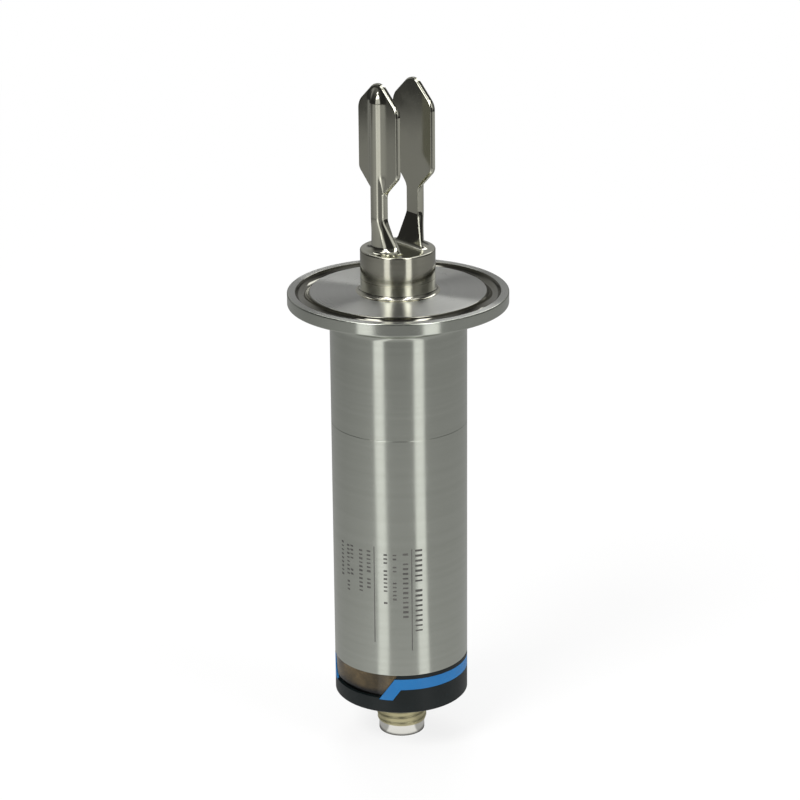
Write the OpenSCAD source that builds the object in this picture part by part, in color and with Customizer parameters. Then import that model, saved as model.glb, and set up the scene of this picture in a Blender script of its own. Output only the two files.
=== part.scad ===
// Tuning fork level switch: a vibrating fork on a clamp ferrule, with its drive stack,
// electronics tube, lighted end cap and round plug. Lengths are millimetres.
// The origin is the centre of the ferrule's sealing face, +Z points to the fork tips,
// and the two tines stand either side of the XZ plane.

/* [Ferrule] */
// Outside diameter of the clamp ferrule
ferrule_d = 50.5; // [48:0.1:55]
// Thickness of the ferrule's rim
rim_t = 2.85; // [2.6:0.05:3.4]
// Small bevel on the rim's two edges
rim_bevel = 0.3; // [0.1:0.05:0.5]
// Angle of the ferrule's sloping back face
back_angle = 20; // [15:1:24]
// Fillet between the back face and the body
hub_fillet = 1.4; // [1:0.1:2]
// Pitch diameter of the gasket groove
groove_d = 43.6; // [41:0.1:45]
// Width of the gasket groove
groove_w = 3; // [2.4:0.1:3.4]
// Depth of the gasket groove
groove_depth = 1.6; // [1.5:0.05:1.9]
// Length from the sealing face to the weld seam on the housing
adapter_len = 31; // [26:0.1:36]
// Wall of the adapter's lower cup
adapter_wall = 2.4; // [2.2:0.1:2.8]
// Thickness of the web between the sealing face and the cup
web_t = 9; // [8.5:0.1:11]
// Length of the lip that centres the housing tube
lip_len = 3; // [2:0.1:5]

/* [Fork] */
// Diameter of the fork's collar
collar_d = 17.1; // [16.6:0.1:19]
// Height of the collar above the sealing face
collar_h = 10; // [9:0.1:13]
// Height of the weld seam round the collar
seam_h = 3.3; // [2:0.1:4]
// Rounding of the collar's top edge
collar_edge = 0.4; // [0.2:0.05:0.8]
// Fillet at the foot of the collar
foot_fillet = 0.8; // [0.4:0.1:1.5]
// Thickness of the vibrating diaphragm
diaphragm_t = 1.2; // [0.8:0.05:1.8]
// Bore for the drive stack
drive_bore = 13.5; // [13:0.1:14]
// Gap between the two paddles
tine_gap = 8.4; // [7.8:0.1:9]
// Width of a paddle
paddle_w = 14.2; // [12:0.1:15]
// Thickness of a paddle
paddle_t = 1.35; // [1:0.05:1.6]
// Length of the straight sides of a paddle
paddle_len = 15.3; // [10:0.1:22]
// Angle of the paddle's pointed end from upright
tip_angle = 49; // [38:1:55]
// Length of the taper between stem and paddle
shoulder_len = 4.6; // [3:0.1:6]
// Length of the straight stem
stem_len = 6.2; // [5:0.1:12]
// Width of the stem and of the rib up the paddle's back
stem_w = 4.2; // [3.6:0.1:4.8]
// Depth of the stem from its flat face to its crest
stem_t = 2.65; // [2.4:0.05:3.1]
// Rounding of the stem's two outer edges
stem_round = 1.7; // [0.8:0.1:1.7]
// Height of the flared root of a tine
root_len = 7.4; // [6:0.1:10]
// Width of a tine's root on the diaphragm
root_w = 9.1; // [8.6:0.1:10]
// Diameter of the turned outside of the two roots
root_d = 11.7; // [11.2:0.1:13]
// Rounding where the root's sides run into the stem
root_round = 6; // [2:0.1:8]
// How far the root's inner face leans in at the diaphragm
root_lean = 1.2; // [0.4:0.1:1.6]
// Rounding at the tip of a paddle
tip_round = 3.5; // [2:0.1:4.5]
// Rounding of the paddle's other corners
corner_round = 1.5; // [0.8:0.1:2]
// Length of the sloping end of the rib
rib_nose = 3; // [1.5:0.1:4]
// Distance from the paddle's tip to the end of the rib
rib_stop = 1; // [0.6:0.1:3]

/* [Drive stack] */
// Diameter of the stacked discs
stack_d = 8; // [7:0.1:8.4]
// Hole through the stacked discs
stack_hole = 3; // [2:0.1:4]
// Thickness of one ceramic drive disc
piezo_t = 1; // [0.8:0.05:1.2]
// Number of drive discs
piezo_n = 4; // [2:1:4]
// Thickness of a contact foil
foil_t = 0.15; // [0.1:0.01:0.3]
// Thickness of an insulator disc
insulator_t = 0.8; // [0.6:0.05:1]
// Height of the pressure pad under the diaphragm
pad_t = 2; // [1.6:0.1:2.4]
// Length of the clamp screw
screw_len = 6; // [5:0.1:7]
// Width across the flats of the clamp screw's socket
socket_af = 5; // [4:0.1:6]
// Depth of the clamp screw's socket
socket_depth = 3.5; // [2:0.1:4]
// Diameter of a drive lead
lead_d = 0.9; // [0.6:0.05:1.1]
// Length of lead soldered to the board
lead_tail = 4; // [3:0.1:5]

/* [Housing tube] */
// Outside diameter of the housing
tube_d = 31.4; // [30.6:0.1:34]
// Wall of the housing tube
tube_wall = 1.5; // [1:0.05:1.8]
// Length of the tube below the weld seam
tube_len = 58.3; // [52:0.1:75]

/* [End cap] */
// Height of the end cap below the tube
cap_h = 9.5; // [9:0.05:12]
// Thickness of the cap's floor
cap_floor = 3; // [2.5:0.1:3.2]
// Thickness of the cap's sleeve round the light ring
cap_sleeve = 0.9; // [0.7:0.05:1.2]
// Bevel on the cap's lower edge
cap_bevel = 0.2; // [0.1:0.05:0.8]
// Direction of the middle of the light window
window_azimuth = -85; // [-180:1:180]
// Half the angle that the window spans at its middle height
window_half_angle = 36; // [24:1:40]
// Lean of the window's ends from upright
window_slant = 35; // [20:1:40]
// Height of the light window
window_h = 4.7; // [4:0.1:4.9]
// Height of the open recess under the window
window_gap = 1.2; // [0.8:0.1:1.3]
// Depth of the window's face below the cap's surface
window_inset = 0.2; // [0.1:0.05:0.4]
// Width of the blue band
band_w = 2.75; // [2:0.05:3]
// Distance from the tube to the band
band_offset = 0.85; // [0.4:0.05:1]
// Distance from the tube to the ends of the band's legs
leg_drop = 6.3; // [5.8:0.1:6.8]
// Thickness of the band
band_t = 0.4; // [0.3:0.05:0.5]
// Length of the light ring's spigot inside the tube
spigot_len = 8; // [7:0.1:10]
// Wall of the light ring's spigot
spigot_wall = 2.1; // [1.9:0.1:2.6]
// Width of the ledge under the lamp board
ledge_w = 1; // [0.6:0.1:1.4]
// Height of the ledge above the cap's floor
ledge_h = 4.4; // [4.2:0.1:4.8]
// Thickness of the rubber seal on the spigot
seal_d = 1.5; // [1.2:0.05:1.6]

/* [Plug] */
// Diameter of the plug's thread
thread_d = 12; // [11:0.1:12.6]
// Length from the cap to the end of the thread
thread_len = 9.15; // [6:0.05:12]
// Diameter of the plug's neck through the cap's floor
neck_d = 11.5; // [10.6:0.1:11.7]
// Diameter of the plain end of the plug
pilot_d = 10.8; // [10.3:0.1:10.9]
// Length of the plain end of the plug
pilot_len = 2; // [1.6:0.1:5]
// Bore of the plug's shell
shell_bore = 9.5; // [9.2:0.1:9.8]
// Diameter of the shell's seat inside the cap
seat_d = 17; // [16:0.1:18]
// Thickness of the shell's seat
seat_t = 1.4; // [1:0.1:1.8]
// Thickness of the rubber seal under the seat
plug_seal_d = 1; // [0.8:0.05:1.2]
// Bore of the lock ring
lock_bore = 13; // [11:0.1:15]
// Thickness of the lock ring that holds the shell
lock_t = 1.2; // [1:0.1:1.4]
// Bore of the insulator's cup
cup_bore = 8.6; // [8:0.1:8.8]
// Depth of the insulator's cup
cup_depth = 8; // [6:0.1:9]
// Distance of the insulator's mouth from the plug's end
cup_inset = 0.5; // [0.2:0.1:1]
// Width of the coding key
key_w = 1.1; // [0.8:0.1:1.6]
// Height of the coding key
key_h = 0.7; // [0.4:0.05:0.9]
// Diameter of a contact pin
pin_d = 1; // [0.8:0.05:1.1]
// Circle on which the pins stand
pin_circle = 5; // [4.6:0.1:5.2]
// Distance of the pin tips from the insulator's mouth
pin_inset = 1; // [0.5:0.1:2]
// Length of pin above the lamp board
pin_tail = 0.6; // [0.3:0.1:1]

/* [Electronics] */
// Thickness of the main board
board_t = 1.6; // [1:0.1:2]
// Clearance above the main board's upper edge
board_headroom = 2; // [1:0.1:4]
// Width of the tongue at the main board's lower end
tongue_w = 20; // [16:0.5:21]
// Wall of the board carrier
carrier_wall = 1.4; // [1.2:0.05:1.8]
// Depth of the carrier's slots for the board
slot_depth = 0.9; // [0.6:0.05:1]
// Thickness of the lamp board
lamp_board_t = 1.2; // [0.8:0.1:1.6]
// Number of status lamps
lamp_n = 3; // [1:1:4]
// Length, width and height of a status lamp
lamp_size = [2, 1.2, 0.8]; // [0.5:0.1:3]
// Length, width and height of the controller chip
controller_size = [7, 7, 1.2]; // [1:0.1:9]
// Length, width and height of a driver chip
driver_size = [5, 4, 1.6]; // [1:0.1:7]
// Length, width and height of an output transistor
transistor_size = [6.5, 6, 2.3]; // [1:0.1:8]
// Length, width and height of the choke
choke_size = [6, 6, 4]; // [2:0.1:9]
// Diameter of a storage capacitor
capacitor_d = 6.3; // [5:0.1:7]
// Height of a storage capacitor
capacitor_h = 7; // [5:0.1:8]
// Distance of the paired parts from the middle of the board
part_spread = 5; // [4:0.1:6]
// Distance between the rows of parts on the board
row_pitch = 12; // [10:0.1:13]

/* [Hidden] */
$fn = 96;

// Clearance of parts that fit together
fit = 0.05;
// Room between the stack and a lead, and round a lead in its hole
lead_room = 0.6;
lead_play = 0.3;
// How far a cutting tool runs past what it cuts
overshoot = 1;
// Reach of a cutting half-space
reach = 60;
// Points on each rounded corner of an outline
arc_steps = 8;

// Fork
collar_r = collar_d / 2;
half_gap = tine_gap / 2;
root_top_z = collar_h + root_len;
neck_z = root_top_z + stem_len;
paddle_low_z = neck_z + shoulder_len;
paddle_high_z = paddle_low_z + paddle_len;
apex_z = paddle_high_z + paddle_w / 2 / tan(tip_angle);
tip_z = apex_z - tip_round * (1 / sin(tip_angle) - 1);
rib_end_z = tip_z - rib_stop;
crest_r = half_gap + stem_t;
paddle_back_r = half_gap + paddle_t;
diaphragm_z = collar_h - diaphragm_t;

// Drive stack, from the diaphragm down
stack_top_z = diaphragm_z - pad_t;
disc_pitch = piezo_t + foil_t;
piezo_top_z = stack_top_z - insulator_t;
stack_low_z = piezo_top_z - piezo_n * disc_pitch - foil_t;
screw_top_z = stack_low_z - insulator_t;
screw_low_z = screw_top_z - screw_len;
lead_x = stack_d / 2 + lead_d / 2 + lead_room;
lead_y = board_t / 2 + lead_d / 2;
lead_hole_d = lead_d + 2 * lead_play;

// Ferrule
ferrule_r = ferrule_d / 2;
tube_r = tube_d / 2;
hub_centre = [
    tube_r + hub_fillet,
    -rim_t + ((tube_r + hub_fillet - ferrule_r) * sin(back_angle) - hub_fillet) / cos(back_angle)
];
hub_on_cone = hub_centre + hub_fillet * [-sin(back_angle), cos(back_angle)];
cup_r = tube_r - adapter_wall;

// Housing, from the weld seam down
seam_z = -adapter_len;
lip_z = seam_z - lip_len;
tube_end_z = seam_z - tube_len;
bore_r = tube_r - tube_wall;
spigot_r = bore_r - fit;
spigot_top_z = tube_end_z + spigot_len;
spigot_bore_r = spigot_r - spigot_wall;

// End cap
cap_end_z = tube_end_z - cap_h;
floor_z = cap_end_z + cap_floor;
sleeve_r = tube_r - cap_sleeve;
ring_r = sleeve_r - fit;
ledge_z = floor_z + ledge_h;
ledge_r = spigot_bore_r - ledge_w;
lamp_board_r = spigot_bore_r - fit;
lamp_board_z = ledge_z + lamp_board_t;
window_low_z = tube_end_z - window_h;
recess_z = window_low_z - window_gap;
window_mid_z = (tube_end_z + recess_z) / 2;
leg_shift = band_w / cos(window_slant);
seal_z = tube_end_z + spigot_len / 2;

// Plug
shell_end_z = cap_end_z - thread_len - pilot_len;
seat_z = floor_z + seat_t;
lock_z = seat_z + lock_t;
plug_seal_r = (seat_d + thread_d) / 4;
cup_mouth_z = shell_end_z + cup_inset;
cup_floor_z = cup_mouth_z + cup_depth;
insulator_top_z = lock_z;
pin_tip_z = cup_mouth_z + pin_inset;
pin_top_z = lamp_board_z + pin_tail;

// Main board
carrier_r = bore_r - 2 * fit;
carrier_bore_r = carrier_r - carrier_wall;
board_half_w = carrier_bore_r + slot_depth - fit;
board_top_z = lip_z - board_headroom;
part_row_z = board_top_z - 2 * row_pitch;

// One step along an arc that rounds corner b between its neighbours a and c
function unit(v) = v / norm(v);
function corner_arc(a, b, c, r) =
    let (
        u = unit(a - b),
        v = unit(c - b),
        half = acos(u * v) / 2,
        centre = b + unit(u + v) * r / sin(half),
        first = b + u * r / tan(half) - centre,
        last = b + v * r / tan(half) - centre,
        start = atan2(first.y, first.x),
        sweep = (atan2(last.y, last.x) - start + 540) % 360 - 180
    )
    [
        for (i = [0:arc_steps])
            let (turn = start + sweep * i / arc_steps)
            centre + r * [cos(turn), sin(turn)]
    ];

// Outline through corners [x, y, radius], where a radius of 0 keeps the corner sharp
function rounded(corners) =
    let (n = len(corners), at = [for (k = corners) [k.x, k.y]])
    [
        for (i = [0:n - 1])
            each corners[i].z > 0
                ? corner_arc(at[(i + n - 1) % n], at[i], at[(i + 1) % n], corners[i].z)
                : [at[i]]
    ];

// A plain turned ring, or a disc where the inner radius is 0
module turned_ring(outer, inner, low, high) {
    rotate_extrude()
        translate([inner, low])
            square([outer - inner, high - low]);
}

// A rubber ring of round section
module seal_ring(middle_r, section_d, height) {
    rotate_extrude()
        translate([middle_r, height])
            circle(d = section_d);
}

// A block on one face of the main board: side 1 is the front, side -1 the back
module board_block(size, x, z, side) {
    translate([x - size.x / 2, side > 0 ? board_t / 2 : -board_t / 2 - size.z, z - size.y / 2])
        cube([size.x, size.z, size.y]);
}

// Outline of a tine seen from the gap: flared root, stem, shoulders, paddle and pointed tip
module tine_outline() {
    right = [
        [root_w / 2, collar_h, 0],
        [stem_w / 2, root_top_z, root_round],
        [stem_w / 2, neck_z, corner_round],
        [paddle_w / 2, paddle_low_z, corner_round],
        [paddle_w / 2, paddle_high_z, corner_round]
    ];
    left = [for (i = [len(right) - 1:-1:0]) [-right[i].x, right[i].y, right[i].z]];
    polygon(rounded(concat(right, [[0, apex_z, tip_round]], left)));
}

// The paddle's blade with full round sides
module blade() {
    side = paddle_w / 2 - paddle_t / 2;
    translate([0, half_gap + paddle_t / 2, neck_z])
        linear_extrude(tip_z - neck_z)
            union() {
                square([2 * side, paddle_t], center = true);
                translate([side, 0]) circle(d = paddle_t);
                translate([-side, 0]) circle(d = paddle_t);
            }
}

// The stem, rounded outside, that runs on up the paddle's back as a rib with a sloping nose
module rib() {
    slope = rib_nose / (crest_r - paddle_back_r);
    intersection() {
        translate([0, 0, collar_h])
            linear_extrude(rib_end_z - collar_h)
                polygon(rounded([
                    [-stem_w / 2, half_gap, 0],
                    [stem_w / 2, half_gap, 0],
                    [stem_w / 2, crest_r, stem_round],
                    [-stem_w / 2, crest_r, stem_round]
                ]));
        rotate_extrude()
            polygon([
                [0, collar_h],
                [crest_r + overshoot, collar_h],
                [crest_r + overshoot, rib_end_z - rib_nose - overshoot * slope],
                [paddle_back_r, rib_end_z],
                [0, rib_end_z]
            ]);
    }
}

// The flared root: turned outside, with its inner face leaning in towards the diaphragm,
// and a core that runs on inside the stem up to the blade
module root() {
    top_r = norm([stem_w / 2, crest_r - stem_round]) - fit;
    intersection() {
        rotate_extrude()
            polygon([
                [0, collar_h],
                [root_d / 2, collar_h],
                [top_r, root_top_z],
                [top_r, neck_z],
                [0, neck_z]
            ]);
        rotate([90, 0, 90])
            linear_extrude(2 * reach, center = true)
                polygon([
                    [half_gap - root_lean, collar_h],
                    [reach, collar_h],
                    [reach, neck_z],
                    [half_gap, neck_z],
                    [half_gap, root_top_z]
                ]);
    }
}

module tine() {
    intersection() {
        rotate([90, 0, 180])
            linear_extrude(reach)
                tine_outline();
        union() {
            blade();
            rib();
            root();
        }
    }
}

module fork() {
    color("gainsboro")
        union() {
            rotate_extrude()
                polygon([
                    [drive_bore / 2, seam_h],
                    [collar_r, seam_h],
                    [collar_r, collar_h - collar_edge],
                    [collar_r - collar_edge, collar_h],
                    [0, collar_h],
                    [0, diaphragm_z],
                    [drive_bore / 2, diaphragm_z]
                ]);
            tine();
            rotate([0, 0, 180]) tine();
        }
}

// Half section of the ferrule and the adapter below it, with its two fillets and the groove cut out
module adapter_section() {
    foot_centre = [collar_r + foot_fillet, foot_fillet];
    difference() {
        polygon([
            [drive_bore / 2, seam_h],
            [collar_r, seam_h],
            [collar_r, foot_fillet],
            foot_centre,
            [foot_centre.x, 0],
            [ferrule_r - rim_bevel, 0],
            [ferrule_r, -rim_bevel],
            [ferrule_r, rim_bevel - rim_t],
            [ferrule_r - rim_bevel, -rim_t - rim_bevel * tan(back_angle)],
            hub_on_cone,
            hub_centre,
            [tube_r, hub_centre.y],
            [tube_r, seam_z],
            [bore_r - fit, seam_z],
            [bore_r - fit, lip_z],
            [cup_r, lip_z],
            [cup_r, -web_t],
            [drive_bore / 2, -web_t]
        ]);
        translate(foot_centre) circle(foot_fillet);
        translate(hub_centre) circle(hub_fillet);
        translate([groove_d / 2, groove_w / 2 - groove_depth]) circle(d = groove_w);
        translate([(groove_d - groove_w) / 2, groove_w / 2 - groove_depth])
            square([groove_w, groove_depth]);
    }
}

module process_connection() {
    color("silver")
        rotate_extrude() adapter_section();
}

module housing_tube() {
    color("silver")
        turned_ring(tube_r, bore_r, tube_end_z, seam_z);
}

module pressure_pad() {
    color("lightslategray")
        rotate_extrude()
            polygon([
                [0, stack_top_z],
                [stack_d / 2, stack_top_z],
                [stack_d / 2, stack_top_z + pad_t / 2],
                [stack_hole / 2, diaphragm_z],
                [0, diaphragm_z]
            ]);
}

module insulator_discs() {
    color("white")
        for (low = [stack_top_z - insulator_t, screw_top_z])
            turned_ring(stack_d / 2, stack_hole / 2, low, low + insulator_t);
}

module piezo_discs() {
    color("wheat")
        for (i = [1:piezo_n]) {
            low = piezo_top_z - i * disc_pitch;
            turned_ring(stack_d / 2, stack_hole / 2, low, low + piezo_t);
        }
}

// Foils between the drive discs, with tabs to the left and right lead in turn
module contact_foils() {
    tab_w = 2 * lead_d;
    color("goldenrod")
        for (i = [0:piezo_n]) {
            side = i % 2 == 0 ? 1 : -1;
            low = piezo_top_z - i * disc_pitch - foil_t;
            difference() {
                union() {
                    turned_ring(stack_d / 2, 0, low, low + foil_t);
                    translate([side > 0 ? 0 : -lead_x, lead_y - tab_w / 2, low])
                        cube([lead_x, tab_w, foil_t]);
                }
                cylinder(d = stack_hole, h = 2 * reach, center = true);
                translate([side * lead_x, lead_y, 0])
                    cylinder(d = lead_d + 2 * fit, h = 2 * reach, center = true);
            }
        }
}

// Threaded plug that squeezes the stack against the diaphragm
module clamp_screw() {
    color("darkgray")
        difference() {
            turned_ring(drive_bore / 2 - fit, 0, screw_low_z, screw_top_z);
            translate([0, 0, screw_low_z - overshoot])
                cylinder(d = socket_af / cos(30), h = socket_depth + overshoot, $fn = 6);
            for (side = [-1, 1])
                translate([side * lead_x, lead_y, screw_low_z - overshoot])
                    cylinder(d = lead_hole_d, h = screw_len + 2 * overshoot);
        }
}

module drive_leads() {
    lead_low_z = board_top_z - lead_tail;
    color("firebrick")
        for (side = [-1, 1])
            translate([side * lead_x, lead_y, lead_low_z])
                cylinder(d = lead_d, h = piezo_top_z - lead_low_z);
}

// Plastic sleeve with two slots that hold the main board's edges
module board_carrier() {
    color("dimgray")
        difference() {
            turned_ring(carrier_r, carrier_bore_r, spigot_top_z, lip_z);
            translate([0, 0, (spigot_top_z + lip_z) / 2])
                cube([
                    2 * (carrier_bore_r + slot_depth),
                    board_t + 2 * fit,
                    lip_z - spigot_top_z + 2 * overshoot
                ], center = true);
        }
}

module main_board() {
    color("darkgreen")
        rotate([90, 0, 0])
            linear_extrude(board_t, center = true)
                polygon([
                    [-board_half_w, board_top_z],
                    [-board_half_w, spigot_top_z],
                    [-tongue_w / 2, spigot_top_z],
                    [-tongue_w / 2, lamp_board_z],
                    [tongue_w / 2, lamp_board_z],
                    [tongue_w / 2, spigot_top_z],
                    [board_half_w, spigot_top_z],
                    [board_half_w, board_top_z]
                ]);
}

module controller_chip() {
    color("black")
        board_block(controller_size, 0, part_row_z, 1);
}

module driver_chips() {
    color("black")
        for (side = [-1, 1])
            board_block(driver_size, side * part_spread, part_row_z + row_pitch, 1);
}

module output_transistors() {
    color("black")
        for (side = [-1, 1])
            board_block(transistor_size, side * part_spread, part_row_z - row_pitch, -1);
}

module storage_capacitors() {
    color("steelblue")
        for (side = [-1, 1])
            translate([side * part_spread, board_t / 2, part_row_z - row_pitch])
                rotate([-90, 0, 0])
                    cylinder(d = capacitor_d, h = capacitor_h);
}

module choke() {
    color("darkslategray")
        board_block(choke_size, 0, part_row_z, -1);
}

// Wedge between the window's two leaning ends, widened sideways by grow
module window_wedge(grow) {
    intersection_for (side = [-1, 1])
        rotate([0, 0, window_azimuth + side * window_half_angle])
            translate([0, side * grow, window_mid_z])
                rotate([side * -window_slant, 0, 0])
                    translate([0, side > 0 ? -reach : 0, -reach])
                        cube([reach, reach, 2 * reach]);
}

// Translucent ring that plugs the tube and carries the lamps' light to the window
module light_ring() {
    color("saddlebrown", 0.6)
        union() {
            difference() {
                rotate_extrude()
                    polygon([
                        [ledge_r, floor_z],
                        [ring_r, floor_z],
                        [ring_r, tube_end_z],
                        [spigot_r, tube_end_z],
                        [spigot_r, spigot_top_z],
                        [spigot_bore_r, spigot_top_z],
                        [spigot_bore_r, ledge_z],
                        [ledge_r, ledge_z]
                    ]);
                turned_ring(
                    spigot_r + overshoot, bore_r - seal_d,
                    seal_z - seal_d / 2 - fit, seal_z + seal_d / 2 + fit
                );
            }
            intersection() {
                turned_ring(
                    tube_r - window_inset, ring_r - overshoot,
                    window_low_z, tube_end_z - fit
                );
                window_wedge(-fit);
            }
        }
}

// Black cover: a floor for the plug and a sleeve that is cut away at the window
module end_cap() {
    color("black")
        difference() {
            rotate_extrude()
                polygon([
                    [thread_d / 2 + fit, cap_end_z],
                    [tube_r - cap_bevel, cap_end_z],
                    [tube_r, cap_end_z + cap_bevel],
                    [tube_r, tube_end_z],
                    [sleeve_r, tube_end_z],
                    [sleeve_r, floor_z],
                    [thread_d / 2 + fit, floor_z]
                ]);
            intersection() {
                turned_ring(
                    tube_r + overshoot, sleeve_r - overshoot,
                    recess_z, tube_end_z + overshoot
                );
                window_wedge(0);
            }
            band_solid(overshoot, 0);
            turned_ring(
                plug_seal_r + plug_seal_d / 2 + fit, plug_seal_r - plug_seal_d / 2 - fit,
                floor_z - plug_seal_d, floor_z + overshoot
            );
        }
}

// The band's form: a ring open at the window, with a leaning leg down each side of it
module band_solid(proud, shrink) {
    difference() {
        turned_ring(
            tube_r + proud, tube_r - band_t,
            tube_end_z - leg_drop + shrink, tube_end_z - band_offset - shrink
        );
        window_wedge(shrink);
        difference() {
            turned_ring(
                tube_r + proud + overshoot, tube_r - band_t - overshoot,
                tube_end_z - leg_drop - overshoot, tube_end_z - band_offset - band_w + shrink
            );
            window_wedge(leg_shift - shrink);
        }
    }
}

module blue_band() {
    color("dodgerblue")
        band_solid(0, fit);
}

module cap_seal() {
    color("darkslategray")
        seal_ring(bore_r - seal_d / 2, seal_d, seal_z);
}

// Small round board on the ledge that carries the lamps and the pins
module lamp_board() {
    color("darkgreen")
        difference() {
            turned_ring(lamp_board_r, 0, ledge_z, lamp_board_z);
            at_pins() cylinder(d = pin_d + 2 * fit, h = 2 * reach, center = true);
        }
}

module status_lamps() {
    spread = 2 * window_half_angle / (lamp_n + 1);
    color("lightyellow")
        for (i = [1:lamp_n])
            rotate([0, 0, window_azimuth - window_half_angle + i * spread])
                translate([ledge_r - lamp_size.y - 4 * fit, -lamp_size.x / 2, ledge_z - lamp_size.z])
                    cube([lamp_size.y, lamp_size.x, lamp_size.z]);
}

// Threaded metal shell of the round plug, seated on the cap's floor
module plug_shell() {
    color("khaki")
        rotate_extrude()
            polygon([
                [shell_bore / 2, seat_z],
                [seat_d / 2, seat_z],
                [seat_d / 2, floor_z],
                [neck_d / 2, floor_z],
                [neck_d / 2, cap_end_z],
                [thread_d / 2, cap_end_z],
                [thread_d / 2, shell_end_z + pilot_len],
                [pilot_d / 2, shell_end_z + pilot_len],
                [pilot_d / 2, shell_end_z],
                [shell_bore / 2, shell_end_z]
            ]);
}

// Places its children at the four contact pins
module at_pins() {
    for (a = [45:90:315])
        rotate([0, 0, a])
            translate([pin_circle / 2, 0, ledge_z])
                children();
}

// Insulating cup with the coding key on its wall
module plug_insulator() {
    cup_r = cup_bore / 2;
    color("black")
        difference() {
            turned_ring(shell_bore / 2 - fit, 0, cup_mouth_z, insulator_top_z);
            difference() {
                turned_ring(cup_r, 0, cup_mouth_z - overshoot, cup_floor_z);
                translate([cup_r - key_h, -key_w / 2, cup_mouth_z - 2 * overshoot])
                    cube([cup_r, key_w, cup_depth + 4 * overshoot]);
            }
            at_pins() cylinder(d = pin_d + 2 * fit, h = 2 * reach, center = true);
        }
}

module contact_pins() {
    color("gold")
        at_pins()
            translate([0, 0, pin_tip_z - ledge_z])
                cylinder(d = pin_d, h = pin_top_z - pin_tip_z);
}

module plug_seal() {
    color("darkslategray")
        seal_ring(plug_seal_r, plug_seal_d, floor_z - plug_seal_d / 2);
}

// Ring screwed into the light ring that holds the plug's seat down
module lock_ring() {
    color("silver")
        turned_ring(ledge_r - fit, lock_bore / 2, seat_z, lock_z);
}

fork();
process_connection();
housing_tube();
pressure_pad();
insulator_discs();
piezo_discs();
contact_foils();
clamp_screw();
drive_leads();
board_carrier();
main_board();
controller_chip();
driver_chips();
output_transistors();
storage_capacitors();
choke();
light_ring();
end_cap();
blue_band();
cap_seal();
lamp_board();
status_lamps();
plug_shell();
plug_insulator();
contact_pins();
plug_seal();
lock_ring();
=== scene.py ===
import math
import bmesh
import bpy
import numpy as np
from mathutils import Matrix, Vector


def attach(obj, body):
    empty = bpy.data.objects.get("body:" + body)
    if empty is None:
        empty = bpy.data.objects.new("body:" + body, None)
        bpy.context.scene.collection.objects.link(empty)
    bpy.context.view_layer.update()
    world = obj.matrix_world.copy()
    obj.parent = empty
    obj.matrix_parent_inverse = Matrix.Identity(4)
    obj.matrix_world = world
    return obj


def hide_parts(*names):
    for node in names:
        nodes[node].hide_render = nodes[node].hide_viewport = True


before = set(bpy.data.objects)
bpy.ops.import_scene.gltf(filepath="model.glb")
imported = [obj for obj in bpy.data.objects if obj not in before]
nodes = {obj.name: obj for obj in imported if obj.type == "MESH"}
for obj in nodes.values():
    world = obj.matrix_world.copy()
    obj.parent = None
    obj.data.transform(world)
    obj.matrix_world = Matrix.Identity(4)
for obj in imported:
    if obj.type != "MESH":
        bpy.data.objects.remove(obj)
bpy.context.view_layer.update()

mm = 0.001
cameraSide = -37.8   # the direction the camera stands in, in degrees
scene = bpy.context.scene
print("frame loaded:", len(nodes), "nodes")


def roundCorners(corners, steps=8, hold=0.03):
    # closed outline through (x, y, radius); a short hold each side keeps flats flat when shaded smooth
    at = [Vector(corner[:2]) for corner in corners]
    path = []
    for i, b in enumerate(at):
        radius = corners[i][2]
        if radius <= 0:
            path.append(tuple(b))
            continue
        u = (at[i - 1] - b).normalized()
        v = (at[(i + 1) % len(at)] - b).normalized()
        half = math.acos(max(-1.0, min(1.0, u.dot(v)))) / 2
        centre = b + (u + v).normalized() * radius / math.sin(half)
        first = b + u * radius / math.tan(half)
        last = b + v * radius / math.tan(half)
        start = math.atan2(*(first - centre).yx)
        sweep = (math.atan2(*(last - centre).yx) - start + 3 * math.pi) % (2 * math.pi) - math.pi
        path.append(tuple(first + u * hold))
        for k in range(steps + 1):
            turn = start + sweep * k / steps
            path.append((centre.x + radius * math.cos(turn), centre.y + radius * math.sin(turn)))
        path.append(tuple(last + v * hold))
    return path


def ringFaces(pairs, steps):
    # quads between pairs of rings with the same number of points
    faces = []
    for i, j in pairs:
        for k in range(steps):
            n = (k + 1) % steps
            faces.append((i * steps + k, i * steps + n, j * steps + n, j * steps + k))
    return faces


def turned(profile, steps=256):
    # closed profile of (r, z) in mm, turned about Z
    ring = np.linspace(-math.pi, math.pi, steps, endpoint=False)
    verts = [(r * math.cos(a), r * math.sin(a), z) for r, z in profile for a in ring]
    count = len(profile)
    return verts, ringFaces([(i, (i + 1) % count) for i in range(count)], steps)


def joined(*shells):
    verts, faces = [], []
    for shellVerts, shellFaces in shells:
        base = len(verts)
        verts += [tuple(v) for v in shellVerts]
        faces += [tuple(base + i for i in f) for f in shellFaces]
    return verts, faces


def cleanMesh(mesh, merge, outward):
    bm = bmesh.new()
    bm.from_mesh(mesh)
    bmesh.ops.remove_doubles(bm, verts=bm.verts, dist=merge)
    bmesh.ops.dissolve_degenerate(bm, dist=merge / 2, edges=bm.edges)
    if outward:
        bmesh.ops.recalc_face_normals(bm, faces=bm.faces)
    bm.to_mesh(mesh)
    bm.free()


def shadeMesh(mesh, material, sharp):
    mesh.shade_smooth()
    mesh.set_sharp_from_angle(angle=math.radians(sharp))
    mesh.materials.clear()
    mesh.materials.append(material)


def linked(name, data):
    thing = bpy.data.objects.new(name, data)
    scene.collection.objects.link(thing)
    return thing


def addPiece(name, verts, faces, material, sharp=38):
    mesh = bpy.data.meshes.new(name)
    mesh.from_pydata([tuple(c * mm for c in v) for v in verts], [], faces)
    cleanMesh(mesh, 1e-6, True)
    shadeMesh(mesh, material, sharp)
    return linked(name, mesh)


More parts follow.
